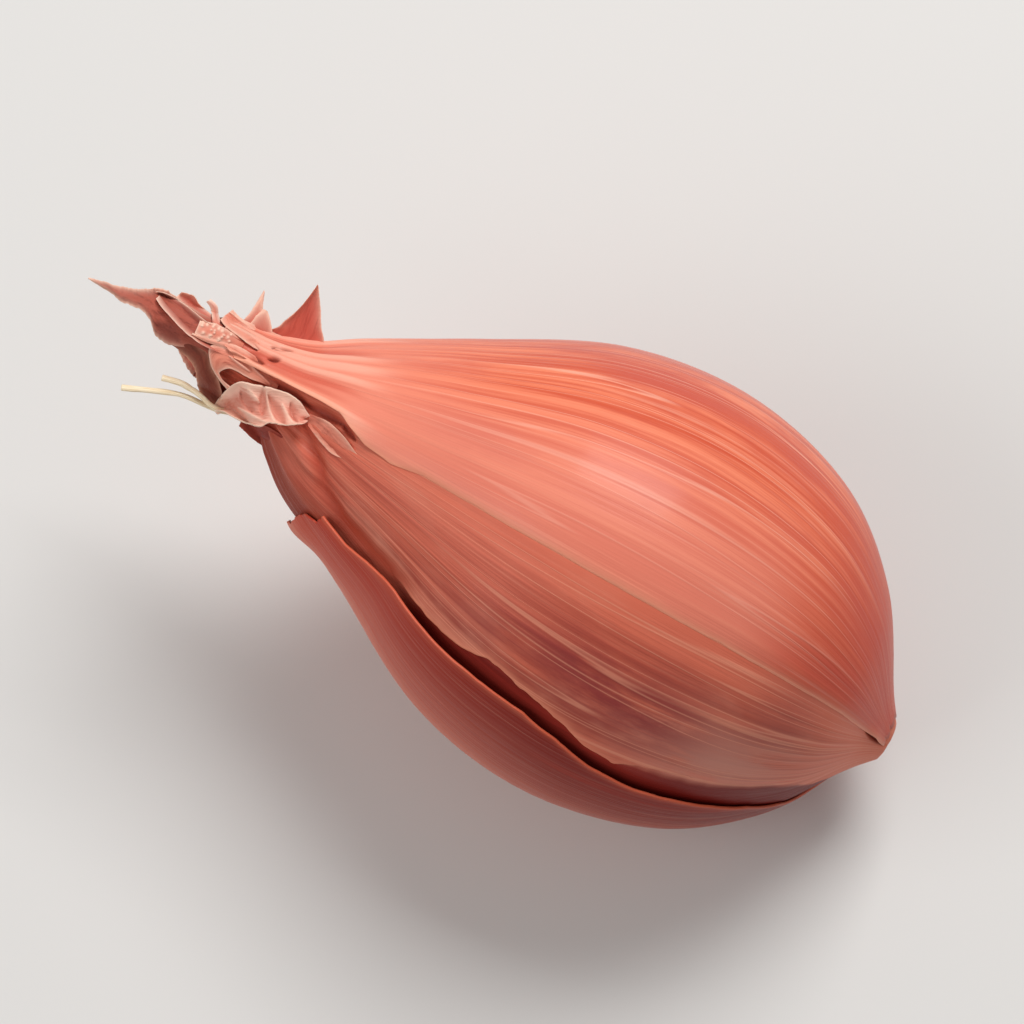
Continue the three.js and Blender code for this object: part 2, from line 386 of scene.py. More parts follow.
def makeBulb():
    rows, columns = bulbSkin["rows"], bulbSkin["columns"]
    share = np.linspace(0, 1, rows)[:, None]
    way = np.linspace(0.002, 1, columns)[None, :]
    fromEdge = 360 * (way - 0.6 * np.sin(2 * np.pi * way) / (2 * np.pi))  # closer columns beside the tear
    edge = tornEdge(share)
    angle = edge + fromEdge
    lift = secondSkinLift(share, angle, fromEdge + 0 * share)
    # Two more columns give the torn edge its thickness and tuck it over the inside.
    angle = np.hstack([edge, edge - bulbSkin["edgeTuck"] * torn(share), angle])
    fromEdge = np.hstack([360 + 0 * share, 0 * share, fromEdge + 0 * share])
    lift = np.hstack([lift[:, -1:] - bulbSkin["edgeThickness"] * torn(share), lift[:, :1], lift])
    share = share + 0 * angle
    lift = lift + skinRipple(share, angle) + neckFolds(share, angle)
    points = onBulb(share, angle, lift, bulbSkin["floor"])
    marks = closeEnds({"points": points, **bulbMarks(share, angle, fromEdge)})
    points = marks.pop("points")
    rows, columns = points.shape[:2]
    loop = np.arange(rows - 1) * columns
    seam = np.stack([loop + columns - 1, loop, loop + columns, loop + 2 * columns - 1], axis=-1)
    faces = np.concatenate([gridFaces(rows, columns), seam])
    marks = {mark: values.reshape(rows * columns, -1).squeeze() for mark, values in marks.items()}
    dress(makePiece("bulb_body", points, faces, marks), makeBulbMaterial(), "bulb")


def bulbMarks(share, angle, fromEdge):
    past = np.minimum(fromEdge, 360 - fromEdge)
    facing = signed(angle)
    creased = smoothStep(share, *bulbSkin["tearEnd"])
    bend = bulbSkin["bend"] * (1 - smoothStep(share, *bulbSkin["tearStart"])) + 0.01
    inside = smoothStep(fromEdge, 0, bend) * (1 - smoothStep(fromEdge, *bulbSkin["insideEnds"]))
    return {
        "grain": grainAt(share, angle),
        "share": share,
        # inside: the deeper skin's own dark red where the skin is torn through; where it only bends in under
        # the flap, painted shade
        "inside": inside * (1 - creased),
        # crease: painted shade in the groove where the tear runs out
        "crease": hump(past, 0, 6) * creased * (1 - smoothStep(share, 0.8, 0.9)),
        # edge: the torn edge's paler rim, with a painted highlight where light catches it
        "edge": np.exp((fromEdge - 360) / 1.4) * torn(share),
        "purple": nearPatches(bulbSkin["bruises"], share, facing),
        # pocket: painted shade in the dents beside the outer skin's edge and in the root-end notch
        "pocket": nearSkinLines(bulbSkin["pocket"] + bulbSkin["notch"], share, angle),
        # pale dull patches, and a painted highlight on the shoulder
        "paleAndHighlight": nearPatches(bulbSkin["paleAndHighlight"], share, facing),
        "round": facing,
    }


def closeEnds(grids):  # the root end closes over its plate, and the neck end sinks into a torn hollow
    points = grids["points"]
    rise = math.radians(bulbForm["neckRise"])
    axis = np.array((-math.cos(rise), 0, math.sin(rise)))
    rootRings, neckRings = bulbSkin["rootRings"], bulbSkin["neckRings"]
    closed = {}
    for name, grid in grids.items():
        closed[name] = np.concatenate([grid[:1]] * len(rootRings) + [grid] + [grid[-1:]] * len(neckRings))
    for rings, last, first in ((rootRings, 0, 0), (neckRings, -1, len(rootRings) + len(points))):
        middle = points[last].mean(axis=0)
        for number, (size, shift) in enumerate(rings):
            closed["points"][first + number] = middle + (points[last] - middle) * size + axis * shift
    return closed


outerSkin = {
    "lift": 0.56,  # of its inner face over the plain bulb, in millimetres
    "thickness": 0.24,
    "clingThickness": 0.07,  # at the edge that clings
    "flapLift": 1.1,
    "liftReach": 62,  # degrees over which the flap comes back to the bulb
    "tipFlare": 1.0,  # how far the flap's tip bends outwards
    "hug": 0.11,  # how far the clinging edge presses in
    "pocket": 0.6,  # how far it stands off beside the torn leaves
    "rootGap": 0.45,  # how far it stands off where the skins part at the root end
    "foot": 0.008,  # share of the length where it starts
    "top": [
        (0, 0.766), (0.018, 0.767), (0.036, 0.784), (0.06, 0.79), (0.12, 0.79), (0.16, 0.775),
        (0.2, 0.745), (0.31, 0.85), (0.48, 0.93), (0.59, 0.955), (0.66, 0.93), (0.75, 0.96), (0.85, 0.995),
        (0.95, 0.995), (1, 0.97),
    ],  # share of the way round, share of the bulb's length
    "flapEdge": [
        (0, 130), (0.04, 118), (0.066, 100), (0.0975, 81), (0.14, 73), (0.186, 69.5), (0.233, 68),
        (0.285, 67.8), (0.346, 66), (0.4, 62.5), (0.45, 60.5), (0.52, 60.5), (0.6, 61), (0.653, 60.8),
        (0.7, 63.5), (0.728, 66), (0.77, 66.5), (1, 80),
    ],  # share of the length, degrees round
    "clingEdge": [
        (0, 30), (0.03, 20), (0.1, 17), (0.7, 18), (0.74, 21), (0.775, 19.5), (0.8, 15), (0.815, 11),
        (0.843, 9.5), (0.9, 8.5), (0.94, 9.5), (1, 13),
    ],
    # pale rims at both edges: the thin skin's paler edge with a painted highlight
    "paleRimAndHighlight": {"cling": 0.25, "flap": 0.2},  # width in millimetres
    "slits": [
        ((67, 2.15), (64.4, 1.75), 0.2),
        ((65, 1.2), (63.4, 1), 0.28),
        ((63.3, 2.4), (61.6, 3), 0.14),
        ((63.1, 1.6), (62.2, 1.9), 0.16),
        ((66.5, 0.4), (65, 0.6), 0.15),
    ],  # small tears at the neck, from and to (along, up), and their width
    "slitDepth": 0.3,
    "rows": 220,
    "columns": 215,
}


def outerSkinTop(across):  # the ragged edge near the neck, smoothed from point to point
    teeth = 0.006 * layered(stacked(across * 70, 1.5, 4.5), 53)
    teeth = teeth + 0.004 * np.abs(softNoise(stacked(across * 160, 3.5, 4.5), 57))
    places, heights = np.array(outerSkin["top"]).T
    index = np.clip(np.searchsorted(places, across), 1, len(places) - 1)
    low, high = heights[index - 1], heights[index]
    return low + (high - low) * smoothStep(across, places[index - 1], places[index]) + teeth


# How far its inner face stands off the plain bulb. FromFlap and fromCling are degrees from its two edges.
def outerSkinLift(share, angle, fromFlap, fromCling, slits):
    flap = 1 - smoothStep(fromFlap, 0, outerSkin["liftReach"])
    belly = np.sin(np.pi * np.minimum(1, share / 0.788) ** 0.8)
    opening = (0.55 * belly + 0.45 * smoothStep(share, 0.3, 0.7)) * smoothStep(share, 0.04, 0.3)
    closed = 1 - 0.75 * hump(share, 0.68, 0.05)
    waves = 0.2 * flap * softNoise(stacked(share * 9, fromFlap / 40, 0.5), 71) * smoothStep(share, 0.1, 0.4)
    pocket = outerSkin["pocket"] * smoothStep(share, 0.75, 0.82) * np.exp(-fromCling / 14)
    gap = outerSkin["rootGap"] * np.exp(-fromCling / 10) * hump(share, 0.03, 0.018)
    hug = outerSkin["hug"] * np.exp(-fromCling / 2) * (1 - smoothStep(share, 0.7, 0.78))
    flare = outerSkin["tipFlare"] * hump(share, 0.785, 0.03) * hump(angle, 103, 18)
    lift = outerSkin["lift"] + outerSkin["flapLift"] * flap * opening * closed + waves
    lift = lift + pocket + gap - hug + flare - outerSkin["slitDepth"] * slits
    return lift + skinRipple(share, angle) + neckFolds(share, angle)


def outerSkinThickness(share, fromCling):  # thin where it clings and at the root end
    thin = np.exp(-fromCling / 2)
    thickness = outerSkin["thickness"] * (1 - thin) + outerSkin["clingThickness"] * thin
    return thickness * (0.25 + 0.75 * smoothStep(share, 0, 0.06))


def outerSkinMarks(share, angle, fromFlap, fromCling, slits):
    neck = smoothStep(share, 0.7, 0.85)
    flap = 1 - smoothStep(fromFlap, 0, outerSkin["liftReach"])
    return {
        "grain": grainAt(share, angle),
        "share": share + 0 * angle,
        # edge and flapEdge: paler rims with a painted highlight along the edges
        "edge": np.exp(-np.radians(fromCling) * outAt(share) / outerSkin["paleRimAndHighlight"]["cling"]),
        "flapEdge": np.exp(-np.radians(fromFlap) * outAt(share) / outerSkin["paleRimAndHighlight"]["flap"]),
        # slit: painted shade in the small tears at the neck
        "slit": slits,
        # fold: the neck folds' height, for painted shade in the valleys and a painted highlight on the
        # ridges
        "fold": smoothStep(neckFolds(share, angle), -0.22, 0.16) * neck + 0.5 * (1 - neck),
        "pitted": smoothStep(share, 0.965, 0.985) * hump(angle, 362, 40),
        "flap": flap * smoothStep(share, 0.02, 0.1),
        "round": signed(angle),
    }


def makeOuterSkin():
    way = np.linspace(0, 1, outerSkin["columns"])[None, :]
    across = way - 0.75 * np.sin(2 * np.pi * way) / (2 * np.pi)  # closer columns at both edges
    climb = 1 - (1 - np.linspace(0, 1, outerSkin["rows"])[:, None]) ** 1.35  # closer rows at the neck
    foot = outerSkin["foot"] + 0.006 * softNoise(stacked(across * 40, 0.5, 7.5), 59)
    share = foot + (outerSkinTop(across) - foot) * climb
    start = between(outerSkin["flapEdge"], share) + 0.4 * layered(stacked(share * 30, 4.5, 0.5), 61)
    end = 360 + between(outerSkin["clingEdge"], share) + 0.35 * layered(stacked(share * 24, 7.5, 0.5), 67)
    angle = start + (end - start) * across
    slits = nearSkinLines(outerSkin["slits"], share, angle)
    place = (share, angle, angle - start, end - angle, slits)
    lift = outerSkinLift(*place)
    outer = onBulb(share, angle, lift + outerSkinThickness(share, end - angle), 0)
    inner = onBulb(share, angle, lift, outerSkin["thickness"])
    piece = makeShell("outer_dry_skin", outer, inner, outerSkinMarks(*place))
    dress(piece, makeOuterSkinMaterial(), "outer_skin")


# Each torn leaf is a sheet between two edges, whose points are (along, up, height over the neck), in
# millimetres. Side is -1 for the leaves behind the neck.
leafForms = {
    "wisp_blade": {
        "node": "neck_leaf_long",
        "upper": [
            (66, 2.4, 0.2), (70.5, 2.3, 0.2), (73.7, 2.6, 0.1), (74.9, 2, 0), (76.1, 1.3, -0.2),
            (77.7, 0.8, -0.4), (79.9, 0.25, -0.6),
        ],
        "lower": [
            (66, -0.6, 0), (69.5, -0.8, 0), (71.3, -1.45, 0), (72.7, -1.2, -0.1), (73.7, -0.3, -0.1),
            (74.8, 0, -0.2), (76.4, -0.2, -0.3), (77.7, 0, -0.4), (79.9, 0.1, -0.6),
        ],
        "bulge": 0.2,
        "crinkle": 0.2,
        # this crease mostly lays painted shade over the lower lobe
        "creases": [((72.9, -0.3), (70.8, -0.7), 0.75)],
        "creaseDepth": 0.08,
        "ragged": 0.2,
        "tint": "tan",
    },
    "wisp_channel": {
        "node": "neck_leaf_long",
        "upper": [
            (64.5, 2, 0.2), (68.5, 1.85, 0.8), (69.9, 1.95, 0.9), (71.2, 2.2, 0.9), (72.5, 2.4, 0.9),
            (73.6, 2.35, 0.8), (74.3, 2.1, 0.5),
        ],
        "lower": [
            (64.5, 0.4, 0.2), (68.6, 0, 0.8), (69.8, 0.1, 0.8), (70.8, 0.3, 0.7), (72.1, 0.7, 0.6),
            (73.3, 1.15, 0.5), (74, 1.6, 0.4),
        ],
        "bulge": -0.7,
        "roll": 0.2,
        "crinkle": 0.06,
        "ragged": 0.04,
        "tint": "channel",
    },
    "wisp_back": {
        "node": "neck_leaf_long",
        "upper": [
            (66.5, 2.2, -0.1), (68.9, 2.6, 0.2), (70.4, 2.9, 0.3), (71.4, 3.3, 0.3), (72.4, 3.1, 0.2),
        ],
        "lower": [(66.5, 1.6, -0.1), (69, 1.8, 0.1), (70.5, 2, 0.1), (71.5, 2.2, 0.1), (72.6, 2.5, 0.1)],
        "bulge": -0.2,
        "crinkle": 0.08,
        "ragged": 0.1,
        "tint": "red",
    },
    "wisp_knob": {
        "node": "neck_leaf_long",
        "upper": [(68.3, 2.2, 0.4), (68.7, 2.9, 0.7), (69.2, 3.55, 0.8), (70, 3.8, 0.8)],
        "lower": [(69, 2.1, 0.4), (69.3, 2.6, 0.7), (69.6, 3.1, 0.8), (70.2, 3.4, 0.8)],
        "bulge": 0.2,
        "crinkle": 0.05,
        "ragged": 0.05,
        "tint": "pink",
    },
    "corner_leaf": {
        "node": "neck_leaf_corner",
        "upper": [
            (60.5, 4, -0.2), (62.9, 4.05, 0.1), (64.8, 3.85, 0.3), (66.7, 3.65, 0.5), (67.9, 3.95, 0.5),
        ],
        "lower": [
            (60.5, 2.6, -0.3), (63.9, 2, 0.2), (65.2, 1.95, 0.4), (66.4, 2.1, 0.6), (67.8, 2.3, 0.6),
            (68.5, 2.6, 0.6),
        ],
        "ridges": [((68, 3.6), (63.5, 3), 0.2), ((67.5, 2.7), (62, 2.9), 0.18)],
        "bulge": 0.25,
        "crinkle": 0.1,
        "ragged": 0.04,
        "tint": "neck",
    },
    "inner_ridge": {
        "node": "neck_leaf_corner",
        "upper": [
            (64, 1.35, -0.2), (65, 1.4, 0.2), (66, 1.4, 0.4), (67.4, 1.2, 0.5), (68.9, 0.8, 0.6),
            (70.1, 0.45, 0.7),
        ],
        "lower": [
            (64.2, 0.85, -0.2), (65, 0.8, 0.2), (65.9, 0.75, 0.4), (67.2, 0.65, 0.5), (68.8, 0.35, 0.6),
            (70.1, 0.3, 0.7),
        ],
        "bulge": 0.25,
        "crinkle": 0.1,
        "ragged": 0.06,
        "tint": "neck",
    },
    "arched_shred": {
        "node": "neck_leaf_corner",
        "upper": [
            (61.6, 0.35, -0.3), (62.9, 0.7, 0.2), (64.9, 0.9, 0.4), (66.7, 0.8, 0.5), (68.2, 0.3, 0.5),
            (67.5, -1, 0.5), (66.3, -1.8, 0.5), (65.2, -2.25, 0.5), (64.3, -2.5, 0.4),
        ],
        "lower": [
            (61.6, -0.25, -0.3), (62.7, -0.3, 0.2), (64, -0.5, 0.4), (65.2, -0.5, 0.45),
            (65.9, -0.65, 0.5), (66.4, -1.3, 0.45), (65.9, -1.75, 0.45), (65, -1.95, 0.45),
            (64.5, -2, 0.4),
        ],
        "ridges": [((64.4, 0.5), (62.2, -0.1), 0.14), ((66.4, 0.3), (64.2, 0), 0.12)],
        "bulge": 0.15,
        "crinkle": 0.1,
        "ragged": 0.04,
        "tint": "neck",
    },
    "bubbled_shred": {
        "node": "neck_leaf_corner",
        "upper": [(65.8, 1.9, 0.2), (67.3, 2.15, 0.6), (68.7, 2.1, 0.8), (70, 1.7, 0.85)],
        "lower": [(65.8, 1.3, 0.2), (67.3, 1, 0.6), (68.6, 0.7, 0.8), (69.9, 0.5, 0.85)],
        "bulge": 0.15,
        "crinkle": 0.1,
        "bubbles": 22,
        "ragged": 0.1,
        "tint": "neck",
    },
    "spike_leaf": {
        "node": "neck_leaf_spike",
        "upper": [
            (65.5, 3, 0.3), (63.9, 4.4, 0.1), (63.55, 5.3, 0), (63.1, 6.5, 0), (62.8, 7.8, 0),
            (62.6, 9.5, 0),
        ],
        "lower": [
            (59.2, 3.8, 0.2), (59.7, 5.4, 0), (60.5, 6.4, 0), (61.3, 7.7, 0), (62, 8.7, 0), (62.5, 9.4, 0),
        ],
        "bulge": -0.3,
        "roll": 0.12,
        "crinkle": 0.08,
        "ridges": [((62.65, 9.2), (63.15, 6.2), 0.13), ((63.15, 6.2), (64, 4.5), 0.17)],
        "ragged": 0.05,
        "tint": "red",
    },
    "barb_leaf": {
        "node": "neck_leaf_barb",
        "upper": [(66.9, 2.8, 0.3), (66.5, 4.2, 0.1), (66.4, 5.2, 0), (66.35, 6.75, 0)],
        "lower": [(64.2, 3, 0.3), (65, 4.4, 0.1), (65.7, 5.4, 0), (66.2, 6.6, 0)],
        "bulge": 0.2,
        "crinkle": 0.06,
        "ragged": 0.06,
        "tint": "red",
    },
    "barb_bump": {
        "node": "neck_leaf_barb",
        "upper": [(66, 3, 0.4), (65.9, 4.4, 0.3), (65.6, 5.3, 0.25)],
        "lower": [(63.6, 3.4, 0.3), (64.4, 4.5, 0.3), (65.2, 5.3, 0.25)],
        "bulge": 0.2,
        "crinkle": 0.08,
        "ragged": 0.08,
        "tint": "red",
    },
    "brown_shred": {
        "node": "neck_leaf_brown",
        "upper": [
            (71.3, 0.5, -0.2), (69.2, -0.1, 0), (68.1, -0.35, 0), (67.2, -1.2, 0), (66.2, -1.85, 0),
            (64.7, -3.4, 0),
        ],
        "lower": [
            (71.4, -1.3, -0.3), (70.1, -1.4, -0.2), (68.5, -2, -0.2), (67.6, -2.9, -0.2),
            (66.2, -4.05, -0.1), (65, -4.15, 0),
        ],
        "bulge": 0.2,
        "crinkle": 0.2,
        "ragged": 0.12,
        "tint": "brown",
    },
    "curled_lip": {
        "node": "neck_leaf_curl",
        "upper": [
            (58.1, -0.8, 0.3), (58.63, -0.6, 0.5), (59.54, -0.25, 0.7), (60.54, -0.15, 0.7),
            (61.84, -0.4, 0.7), (62.74, -0.7, 0.6), (63.54, -1, 0.7), (64.45, -1.3, 0.8),
            (64.8, -2.4, 0.8), (64.8, -4.35, 0.5),
        ],
        "lower": [
            (58.1, -1.2, 0.6), (58.27, -1.6, 1.1), (58.7, -2, 1.6), (59.52, -2.6, 2), (60.73, -3.15, 2.2),
            (61.21, -3.85, 2.6), (62.36, -4.2, 2.7), (63.54, -4.25, 2.3), (64.3, -4.2, 1.7),
            (64.9, -4.5, 0.6),
        ],
        "bulge": -0.5,
        "roll": 0.3,
        "crinkle": 0.12,
        "creases": [
            ((62.5, -0.7), (61.6, -2.4), 0.28),
            ((61.9, -0.9), (59.5, -2.4), 0.34),
            ((59.9, -0.5), (58.7, -1.5), 0.3),
            ((64, -1.8), (62.4, -2.6), 0.35),
        ],
        "creaseDepth": 0.32,
        "ridges": [
            ((62.2, -0.8), (60.2, -2.9), 0.17),
            ((60.6, -0.9), (58.8, -2.1), 0.2),
            ((63.6, -3.1), (60.7, -3.1), 0.2),
            ((64, -1.3), (62.3, -1.7), 0.15),
        ],
        "ragged": 0.05,
        "tint": "lip",
    },
    "lip_corner": {
        "node": "neck_leaf_curl",
        "upper": [(59, -3.4, 0), (60.6, -3.4, 0.2), (62.6, -3.8, 0.2)],
        "lower": [(59.6, -5, 0.1), (60.9, -4.9, 0.3), (62.5, -4.5, 0.3)],
        "bulge": 0.1,
        "crinkle": 0.04,
        "ragged": 0.05,
        "tint": "dark",
    },
    "crumpled_shred": {
        "node": "neck_leaf_curl",
        "upper": [
            (58.2, -0.6, 0.3), (56.8, -0.4, 0.4), (56, -0.5, 0.4), (54.6, -0.95, 0.3), (53, -1.7, -0.1),
        ],
        "lower": [
            (57.8, -1.5, 0.1), (56.8, -2, 0.15), (55.8, -2.4, 0.1), (54.8, -2.6, 0), (53, -2.3, -0.15),
        ],
        "bulge": -0.12,
        "crinkle": 0.34,
        "ragged": 0.03,
        "tint": "patch",
    },
    "back_shred": {
        "node": "neck_leaf_back",
        "side": -1,
        "upper": [(60, 2.8, -0.3), (66, 3.2, 0.7), (69.6, 2.5, 0.9), (73, 1.2, 0.9)],
        "lower": [(60, 0, -0.3), (66, -0.2, 0.7), (69.6, -0.1, 0.9), (73, 0.9, 0.9)],
        "bulge": 0.3,
        "crinkle": 0.3,
        "ragged": 0.2,
        "tint": "pink",
    },
    "under_shred": {
        "node": "neck_leaf_under",
        "side": -1,
        "upper": [(60, 0.2, -0.3), (65.4, 0.2, 0.6), (68, -0.2, 1.4), (70, -0.9, 2.2)],
        "lower": [(60, -2.6, -0.3), (65.4, -2.9, 0.6), (68, -2.6, 1.3), (70, -1.4, 2.1)],
        "bulge": 0.3,
        "crinkle": 0.25,
        "ragged": 0.18,
        "tint": "tan",
    },
}


leafSheet = {
    "thickness": 0.13,
    "thickRim": 0.9,  # how much thicker it is at the rim, as a share
    "rimWidth": 0.2,
    "grownIn": (0.05, 0.3),  # shares of its length between which it comes free of the neck
    "ridgeHeight": 0.16,
    "bubbleHeight": 0.16,
    "rows": 90,
    "columns": 30,
}


def nearBubbles(count, sheet, seed):  # 1 on small round bubbles scattered over the outer part of a sheet
    mark = np.zeros(sheet.shape[:2])
    draw = np.random.default_rng(seed)
    for i in range(count):
        middle = sheet[draw.integers(25, sheet.shape[0] - 4), draw.integers(3, sheet.shape[1] - 3)]
        mark = np.maximum(mark, hump(np.linalg.norm(sheet - middle, axis=-1), 0, draw.uniform(0.09, 0.16)))
    return mark


def leafEdge(points, run):  # the spline's points, spaced evenly for run
    line = splineThrough(points)
    way = np.linspace(0, 1, len(line))
    return np.stack([np.interp(run, way, line[:, i]) for i in range(3)], axis=-1)


def makeLeaf(name, form, seed):
    run = np.linspace(0, 1, leafSheet["rows"])[:, None]
    down = np.linspace(0, 1, leafSheet["columns"])[None, :]
    upper, lower = leafEdge(form["upper"], run[:, 0]), leafEdge(form["lower"], run[:, 0])
    width = np.linalg.norm(upper - lower, axis=-1)[:, None]
    length = np.ptp(upper[:, 0])
    free = smoothStep(run, *leafSheet["grownIn"])
    tear = [layered(stacked(run * width.max() * 9, i + 0.5, 0.5), seed) for i in (0, 1)]
    wander = tear[0] * (1 - down) + tear[1] * down
    ragged = form["ragged"] * free * wander * np.minimum(1, width) / (width + 0.2)
    way = (down + ragged)[..., None]
    sheet = upper[:, None] * (1 - way) + lower[:, None] * way
    normals = np.cross(np.gradient(sheet, axis=0), np.gradient(sheet, axis=1))
    normals = normals / (np.linalg.norm(normals, axis=-1, keepdims=True) + 1e-9)
    if normals[..., 2].mean() < 0:
        normals = -normals
    grain = stacked(run * length * 0.9, (down - 0.5) * width * 0.9, 0.5)
    rim = np.minimum(down, 1 - down) * width
    creases = nearLines(form.get("creases", []), sheet[..., 0], sheet[..., 1])
    ridges = nearLines(form.get("ridges", []), sheet[..., 0], sheet[..., 1])
    bubbles = nearBubbles(form.get("bubbles", 0), sheet, seed)
    crinkles = layered(grain * (0.45, 1.1, 1), seed + 5)
    bend = form["bulge"] * np.sin(np.pi * down) + 0.6 * form["crinkle"] * crinkles * free
    bend = bend - form.get("creaseDepth", 0.22) * creases
    bend = bend + leafSheet["ridgeHeight"] * ridges + leafSheet["bubbleHeight"] * bubbles
    bend = bend + form.get("roll", 0) * hump(rim, 0, 0.25) * free
    sheet = sheet + normals * bend[..., None]
    thicker = 1 + leafSheet["thickRim"] * np.exp(-rim / 0.16)
    half = normals * (leafSheet["thickness"] / 2 * thicker)[..., None]
    pale = np.exp(-rim / leafSheet["rimWidth"]) + np.exp((run - 1) * length / leafSheet["rimWidth"])
    dull = 0.5 if "bubbles" in form else 0
    marks = {
        "grain": grain + (seed, 0, 0),
        # edge: the thin rims' own paler tone with a painted highlight, and painted highlights on ridges and
        # bubbles
        "edge": (pale + 0.6 * ridges) * free + bubbles,
        # hollowShade: painted shade in hollows and creases, and a dulled tone over the bubbled shred
        "hollowShade": np.clip(smoothStep(-bend, 0.1, 0.55) + creases + dull, 0, 1),
    }
    side = form.get("side", 1)
    outer, inner = atNeck(sheet + half, side), atNeck(sheet - half, side)
    if side < 0:
        outer, inner = inner, outer
    dress(makeShell(name, outer, inner, marks), leafMaterials[form["tint"]], form["node"])


fibreForms = {
    "long_fibre": {
        "node": "neck_fibre_long",
        "line": [
            (63.4, -3.8, 0), (65, -4.3, 0.5), (67.5, -4.5, 0.6), (69.2, -5, 0.6), (71.5, -6, 0.5),
            (72.9, -6.6, 0.4),
        ],
        "radius": 0.25,
    },
    "short_fibre": {
        "node": "neck_fibre_short",
        "line": [
            (63.4, -3.6, 0.5), (65, -4.2, 1), (66.3, -4, 1.1), (67.4, -3.8, 1.1), (68.7, -3.8, 1.1),
            (70.3, -4.15, 1),
        ],
        "radius": 0.26,
    },
}


def tubeRings(line, radii, sides, flat=1.0):
    run = np.gradient(line, axis=0)
    run = run / np.linalg.norm(run, axis=-1, keepdims=True)
    side = np.cross(run, (0.3, 0.2, 1.0))
    side = side / np.linalg.norm(side, axis=-1, keepdims=True)
    other = np.cross(run, side)
    turn = np.linspace(0, 2 * np.pi, sides, endpoint=False)[None, :, None]
    ring = side[:, None] * np.cos(turn) + flat * other[:, None] * np.sin(turn)
    return line[:, None] + ring * radii[:, None, None]


def tubeFaces(rows, sides, start=0):
    row, column = np.meshgrid(np.arange(rows - 1), np.arange(sides), indexing="ij")
    following = (column + 1) % sides
    first, second = start + row * sides, start + (row + 1) * sides
    faces = np.stack([first + column, first + following, second + following, second + column], axis=-1)
    return faces.reshape(-1, 4)


fibreTube = {"sides": 14, "steps": 14, "flat": 0.7, "waver": 0.06}


def makeFibre(name, form, seed):
    sides = fibreTube["sides"]
    line = atNeck(splineThrough(form["line"], fibreTube["steps"]))
    run = np.linspace(0, 1, len(line))
    waver = [softNoise(stacked(run * 9, i + 0.5, 0.5), seed) for i in range(3)]
    line = line + fibreTube["waver"] * np.stack(waver, axis=-1)
    radii = form["radius"] * (0.8 + 0.35 * run + 0.12 * softNoise(stacked(run * 14, 4.5, 0.5), seed))
    radii[[0, -1]] *= 0.7
    rings = tubeRings(line, radii, sides, fibreTube["flat"])
    turn = np.linspace(0, 2 * np.pi, sides, endpoint=False)[None, :]
    grain = stacked(3 * np.cos(turn), 3 * np.sin(turn), run[:, None] * 4)
    piece = makePiece(name, rings, tubeFaces(len(line), sides), {"grain": grain.reshape(-1, 3)})
    dress(piece, makeFibreMaterial(), form["node"])


roots = {
    "plate": 1.75,  # radius of the corky plate, in millimetres
    "count": 34,
    "length": (0.35, 0.95),
    "radius": 0.11,
    "droop": 0.35,
    "sides": 7,
    "steps": 9,
}


def makeRoots():
    draw = np.random.default_rng(5)
    sides, steps = roots["sides"], roots["steps"]
    rings, faces, grain = [], [], []
    outward = layDown(-1.0, 0, 0) - layDown(0, 0, 0)
    outward = outward / np.linalg.norm(outward)
    t = np.linspace(0, 1, steps)[:, None]
    for i in range(roots["count"]):
        angle, out = draw.uniform(0, 360), roots["plate"] * math.sqrt(draw.uniform(0, 1)) * 0.95
        length = draw.uniform(*roots["length"])
        start = layDown(0.6, angle, out * 0.9)
        lean = (layDown(0.6, angle, out * 0.9 + 1) - start) * 0.5 + draw.normal(0, 0.35, 3)
        line = start + outward * length * t + lean * t**2 * length * (0.4 + 0.5 * out / roots["plate"])
        line = line - np.array((0, 0, 1)) * roots["droop"] * t**2 * length
        radii = roots["radius"] * draw.uniform(0.7, 1.3) * (1 - 0.45 * t[:, 0])
        faces.append(tubeFaces(steps, sides, len(rings) * steps * sides))
        rings.append(tubeRings(line, radii, sides))
        grain.append(stacked(i * 1.7, t, np.linspace(0, 2, sides)[None, :]))
    marks = {"grain": np.stack(grain).reshape(-1, 3)}
    piece = makePiece("root_stubs", np.stack(rings), np.concatenate(faces), marks)
    dress(piece, makeRootMaterial(), "root_tuft")


def newMaterial(name):
    material = bpy.data.materials.new(name)
    material.use_nodes = True
    return material, material.node_tree, material.node_tree.nodes["Principled BSDF"]


def addNode(tree, kind, inputs, **settings):
    node = tree.nodes.new(kind)
    for setting, value in settings.items():
        setattr(node, setting, value)
    for key, value in inputs.items():
        if isinstance(value, bpy.types.NodeSocket):
            tree.links.new(value, node.inputs[key])
        else:
            node.inputs[key].default_value = value
    return node


def marked(tree, name, output="Fac"):
    return addNode(tree, "ShaderNodeAttribute", {}, attribute_name=name).outputs[output]


def grainNoise(tree, stretch, scale, detail, roughness):  # noise stretched across and along the grain
    grain = marked(tree, "grain", "Vector")
    place = addNode(tree, "ShaderNodeVectorMath", {0: grain, 1: stretch}, operation="MULTIPLY").outputs[0]
    values = {"Vector": place, "Scale": scale, "Detail": detail, "Roughness": roughness}
    return addNode(tree, "ShaderNodeTexNoise", values).outputs[0]


def maths(tree, operation, first, second=0.0):
    return addNode(tree, "ShaderNodeMath", {0: first, 1: second}, operation=operation).outputs[0]


def product(tree, first, second):  # kept between 0 and 1
    values = {0: first, 1: second}
    return addNode(tree, "ShaderNodeMath", values, operation="MULTIPLY", use_clamp=True).outputs[0]


def spread(tree, value, low, high, toLow=0.0, toHigh=1.0):
    values = {"Value": value, "From Min": low, "From Max": high, "To Min": toLow, "To Max": toHigh}
    return addNode(tree, "ShaderNodeMapRange", values, interpolation_type="SMOOTHSTEP").outputs[0]


